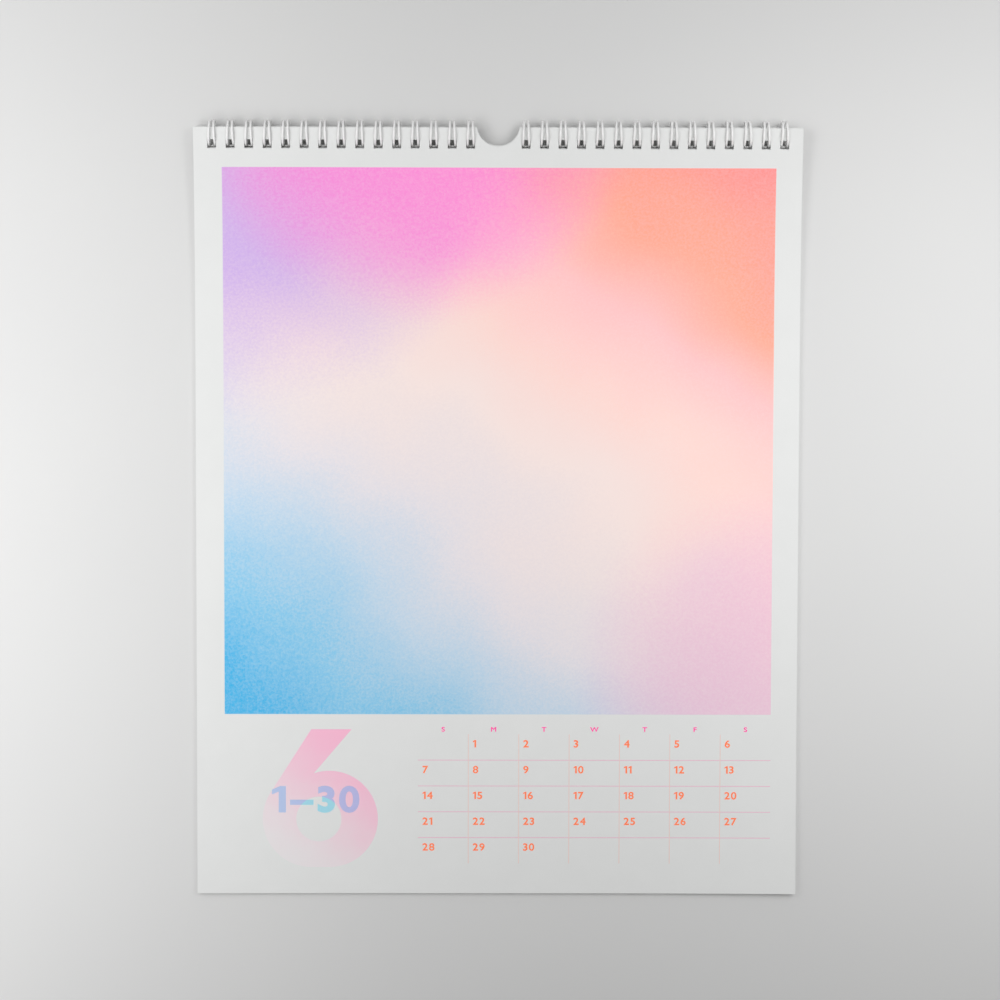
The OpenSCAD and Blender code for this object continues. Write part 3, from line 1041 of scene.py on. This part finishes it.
def seven():
    """A bar and a slanted leg."""
    under = numeral_h - seven_bar
    loop = [Vector((seven_foot, 0)), Vector((seven_foot + stem_w, 0)),
            Vector((numeral_w, leg_head)), Vector((numeral_w, numeral_h)),
            Vector((0, numeral_h)), Vector((0, under)), Vector((seven_foot + seven_lean * under, under))]
    return [[foot + p for p in divided(loop, net)]]


print("numerals are", round(numeral_w / MM, 1), "mm wide and", round(numeral_h / MM, 1), "mm high")

# %% [markdown]
# ## Inks that overlap
# A numeral is printed in one pink that is strongest at the top right and fades almost to paper at
# the foot. The day span runs across it. Where the two inks overlap they mix to lilac, and over
# bare paper the blue stays clear. Real see-through ink would need two films that let light through.
# One opaque film whose colour knows where the numeral is looks the same and renders faster.

# %% Numeral inks
counter_mid = foot + Vector((numeral_w / 2 - counter_shift, bowl_h / 2))
counter_y, _ = june_face.at(-counter_mid.y)
foot_y, _ = june_face.at(-foot.y)
soft_edge = 0.15 * MM


def fading_pink(name, top_tint, foot_tint):
    """A pink that fades from the numeral's top right to its foot."""
    made = Finish(name)
    across, upward = made.parts()
    height = ((upward - numeral_lo.y) * (0.72 / (numeral_hi.y - numeral_lo.y))
              + (across - numeral_lo.x) * (0.42 / (numeral_hi.x - numeral_lo.x)))
    grain = made.noise(0.2 * MM, 2, 0.8)
    clouds = made.noise(9 * MM, 3, 0.55)
    full = made.step(height + (clouds - 0.5) * 0.16 + (grain - 0.5) * 0.16, 0.05, 1.05)
    made.bump(grain, 0.006 * MM)
    return made.set(Base_Color=made.blend(full, foot_tint, top_tint), Roughness=0.74 + 0.1 * grain,
                    Specular_IOR_Level=0.3)


def overprint(name, bare):
    """Blue ink: lilac over the pink numeral, and clear where `bare` says that paper is under it."""
    made = Finish(name)
    across, upward = made.parts()
    grain = made.noise(0.2 * MM, 2, 0.8)
    deep = made.step(across, counter_mid.x - 20 * MM, counter_mid.x + 18 * MM)
    lilac = made.blend(deep + (grain - 0.5) * 0.4, "bccdf0", "bfc0ec")
    made.bump(grain, 0.006 * MM)
    return made.set(Base_Color=made.blend(bare(made, across, upward), lilac,
                                          made.blend(grain, "9bdcf0", "b4e4f0")),
                    Roughness=0.74 + 0.1 * grain, Specular_IOR_Level=0.3)


def in_the_hole(made, across, upward):
    """1 in the hole of June's six."""
    x, y = across - counter_mid.x, upward - counter_y
    far = made.node("ShaderNodeMath", {"operation": "SQRT"}, {0: x * x + y * y})
    return made.step(far, counter_d / 2 + soft_edge, counter_d / 2 - soft_edge)


def beside_the_leg(made, across, upward):
    """1 on both sides of the leg of July's seven."""
    from_edge = across - (foot.x + seven_foot) - (upward - foot_y) * seven_lean
    past_left = made.step(from_edge, -soft_edge, soft_edge)
    before_right = made.step(from_edge, stem_w + soft_edge, stem_w - soft_edge)
    return 1 - past_left * before_right


print("the hole of the six is at x", round(counter_mid.x / MM, 1), "y", round(counter_y / MM, 1), "mm")

# %% [markdown]
# ## Print the numerals
# The span could be cut out of the numeral, but on paper ink lies on ink. So the function that
# prints a month's numeral lays the span a hundredth of a millimetre above it, and the two films
# never lie in one plane.

# %% A numeral and its span
span_mid, span_foot = 24.7 * MM, 26.4 * MM
span_h, span_weight, span_stretch = 11.3 * MM, 0.7 * MM, 1.12
span_over = 0.01 * MM


def numeral_print(month, loops, span_text, bare, body, held, flat, lift):
    """The numeral with the day span across it."""
    numeral_net, numeral_room = 5 * MM, 0.8 * MM
    net_x = spacing(foot.x, foot.x + numeral_w, numeral_net)
    net_y = spacing(foot.y, foot.y + numeral_h, numeral_net)
    numeral = laid(month + "_numeral", cut(loops, net_x, net_y, numeral_room), *print_levels(held, flat),
                   fading_pink(month + "_fading_pink_ink", "ffbfd9", "eeebec"), lift)
    span_ink = overprint(month + "_overprinted_blue_ink", bare)
    span = set_words(month + "_day_span", [(span_text, foot.x + span_mid, foot.y + span_foot, 0.5)],
                     span_h, span_weight, span_stretch, span_ink, held + span_over, flat + span_over, lift)
    for piece in (numeral, span):
        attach(piece, body)
    return numeral, span


june_numeral, june_span = numeral_print("june", six(), "1–30", in_the_hole, "june_leaf", *june_on)
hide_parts("numeral_print")
print("June's numeral and span:", june_numeral.name, june_span.name)

# %% [markdown]
# ## July, under June
# When the open leaf is turned up, the next one shows. A blank leaf would do only while June lies
# flat, so July has prints of its own, made by the same functions: it starts on the fourth day of
# a week and has one day more. Its film of ink has to stay under June's paper, which lies only a
# few hundredths of a millimetre above.

# %% July's prints
july_on = (later_held + later_t - leaf_shave, later_flat + later_t - leaf_shave, later_curls[0])
july_slope = (0.5, -0.5, 0.5)
july_stops = [(0.06, "ffdf86"), (0.2, "ffd0a0"), (0.34, "ffc4b4"), (0.48, "f9dcd6"), (0.62, "e3e6ea"),
              (0.74, "bfe3ea"), (0.86, "7fcfe0"), (0.98, "59b4e4")]
july_fields = [
    ((0.05, 0.10), (0.45, 0.40), "b9a2f0", 0.8),
    ((0.95, 0.55), (0.38, 0.45), "ffa3c8", 0.85),
    ((0.45, 0.95), (0.40, 0.25), "8fe0c8", 0.7),
]
july_sky = colour_sky("july_picture_ink", july_slope, july_stops, july_fields, (picture_lo, picture_hi))
july_picture = laid("july_picture", picture_shape, *print_levels(*july_on[:2]), july_sky, july_on[2])
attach(july_picture, "bound_stack")
july_print = month_print("july", 3, 31, "bound_stack", *july_on)
july_print += numeral_print("july", seven(), "1–31", beside_the_leg, "bound_stack", *july_on)
print("July's print:", [piece.name for piece in july_print])

# %% [markdown]
# ## Floor and light
# The calendar lies on a plain pale surface under three soft round lamps. Two hang out at the
# sides, level with the top of the sheet. The left one is the stronger, so the shadow is deeper
# along the right edge, and both draw one along the foot. A weak lamp beyond the lower left corner
# keeps the surface there as light as the rest. An even glow from all round keeps the shadows
# between the wires open. One bare sun would draw hard black lines there.

# %% Floor, lamps and world
floor_finish = Finish("pale_floor")
floor_tone = floor_finish.noise(90 * MM, 3, 0.5)
floor_grain = floor_finish.noise(0.6 * MM, 2, 0.6)
floor_finish.bump(floor_grain, 0.01 * MM)
floor_material = floor_finish.set(
    Base_Color=floor_finish.blend(floor_tone * 0.7 + floor_grain * 0.3, "d9d9d9", "dddddc"),
    Roughness=0.5 + 0.1 * floor_grain, Specular_IOR_Level=0.5)
floor_mesh = bpy.data.meshes.new("floor")
floor_reach, floor_z = 2.5, -0.2 * MM
floor_corners = [(-1, -1), (1, -1), (1, 1), (-1, 1)]
floor_mesh.from_pydata([(x * floor_reach, y * floor_reach, floor_z) for x, y in floor_corners], [],
                       [(0, 1, 2, 3)])
floor = new_object("floor", floor_mesh, floor_material)


def soft_lamp(name, place, aim, spread, power):
    """A round lamp half a metre across, with its spread in degrees and its power in watts."""
    data = bpy.data.lights.new(name, "AREA")
    data.shape, data.size, data.spread, data.energy = "DISK", 0.5, math.radians(spread), power
    lamp = bpy.data.objects.new(name, data)
    lamp.location = place
    lamp.rotation_euler = (Vector(aim) - Vector(place)).to_track_quat("-Z", "Y").to_euler()
    bpy.context.scene.collection.objects.link(lamp)
    print(name, "hangs", round(place[2], 2), "m up with", power, "W")


soft_lamp("left_lamp", (-0.376, 0.16, 0.6), (-0.399, 0.177, 0), 114, 1.09)
soft_lamp("right_lamp", (0.375, 0.16, 0.6), (0.288, 0.038, 0), 72, 0.65)
soft_lamp("corner_lamp", (-0.424, -0.28, 0.6), (-0.422, -0.098, 0), 72, 0.51)
world = bpy.data.worlds.new("room")
bpy.context.scene.world = world
world.use_nodes = True
room_light = world.node_tree.nodes["Background"]
room_light.inputs["Color"].default_value = (1.0, 1.0, 1.0, 1)
room_light.inputs["Strength"].default_value = 0.35
bpy.context.scene.view_settings.view_transform = "Standard"
